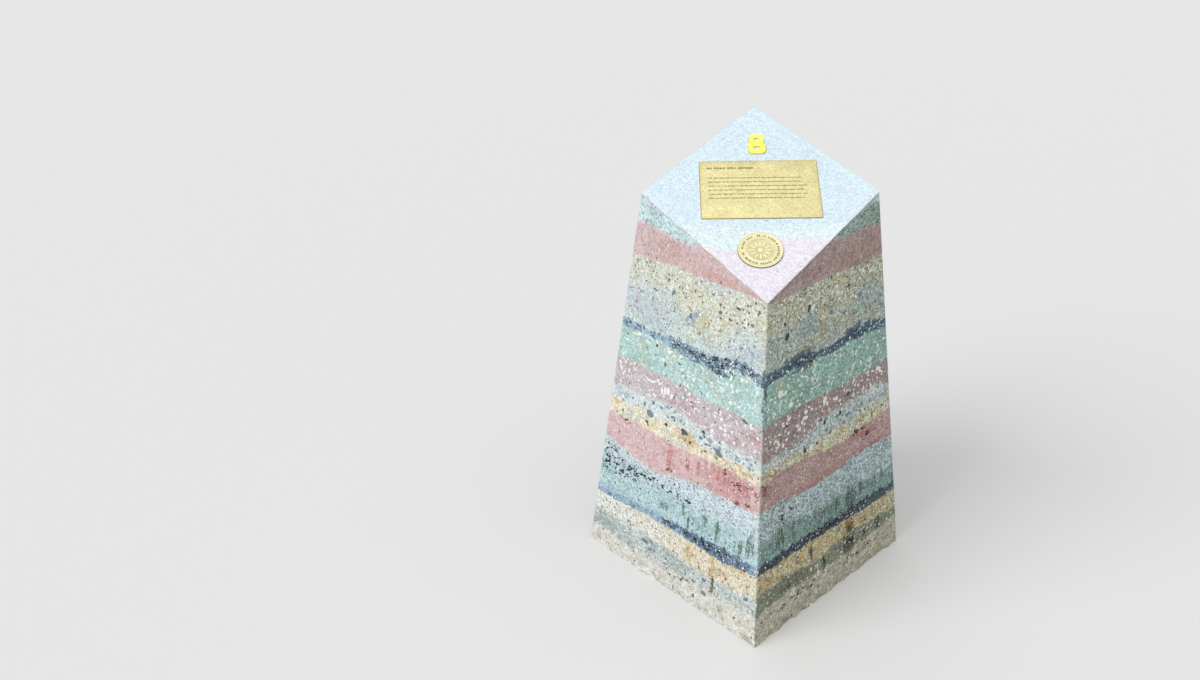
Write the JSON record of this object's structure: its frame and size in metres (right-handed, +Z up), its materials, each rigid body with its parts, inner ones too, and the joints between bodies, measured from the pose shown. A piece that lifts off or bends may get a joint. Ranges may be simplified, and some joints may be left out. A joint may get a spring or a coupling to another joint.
{
  "type": "layered concrete obelisk marker",
  "caption": "Waist-high tapering square marker of layered coloured concrete, its top cut by one slope that carries a brass plate, a medallion and a numeral.",
  "frame": {"origin": "middle of the square foot, on the ground", "axes": "+Z up; the plan's corners lie on X and Y, -Y is the reader's corner where the sloping top is lowest, +Y the highest corner"},
  "size_m": [0.639, 0.639, 0.8735],
  "materials": {
    "off_white_concrete": "rough cast, off-white",
    "lower_grey_concrete": "ground, mid blue-grey",
    "lower_buff_concrete": "ground, cream to ochre",
    "blue_seam_concrete": "ground, slate blue",
    "blue_green_concrete": "ground, pale blue-green",
    "pale_grey_concrete": "ground, pale blue-grey",
    "lower_red_concrete": "ground, brick pink",
    "ochre_concrete": "ground, sandy yellow",
    "pebbly_grey_concrete": "ground, pale grey with pebbles",
    "mauve_concrete": "ground, dusty mauve with white chips",
    "green_concrete": "ground, sage green with white chips",
    "mottled_grey_concrete": "ground, mottled grey",
    "upper_buff_concrete": "ground, sandy with dark and white chips",
    "upper_red_concrete": "ground, dusty brick red",
    "pale_green_concrete": "ground, pale grey-green",
    "cap_concrete": "ground, very pale blue-white",
    "brass": "satin, lightly weathered",
    "yellow_enamel": "bright yellow, satin"
  },
  "bodies": {
    "root": {"rough_foot": "off_white_concrete", "lower_grey_pour": "lower_grey_concrete", "lower_buff_pour": "lower_buff_concrete", "lower_blue_seam": "blue_seam_concrete", "blue_green_pour": "blue_green_concrete", "pale_grey_pour": "pale_grey_concrete", "lower_red_pour": "lower_red_concrete", "ochre_pour": "ochre_concrete", "pebbly_grey_pour": "pebbly_grey_concrete", "mauve_pour": "mauve_concrete", "green_pour": "green_concrete", "upper_blue_seam": "blue_seam_concrete", "mottled_grey_pour": "mottled_grey_concrete", "upper_buff_pour": "upper_buff_concrete", "upper_red_pour": "upper_red_concrete", "pale_green_pour": "pale_green_concrete", "cap_pour": "cap_concrete", "brass_plate": "brass", "medallion": "brass", "numeral_eight": "yellow_enamel"}
  },
  "joints": []
}
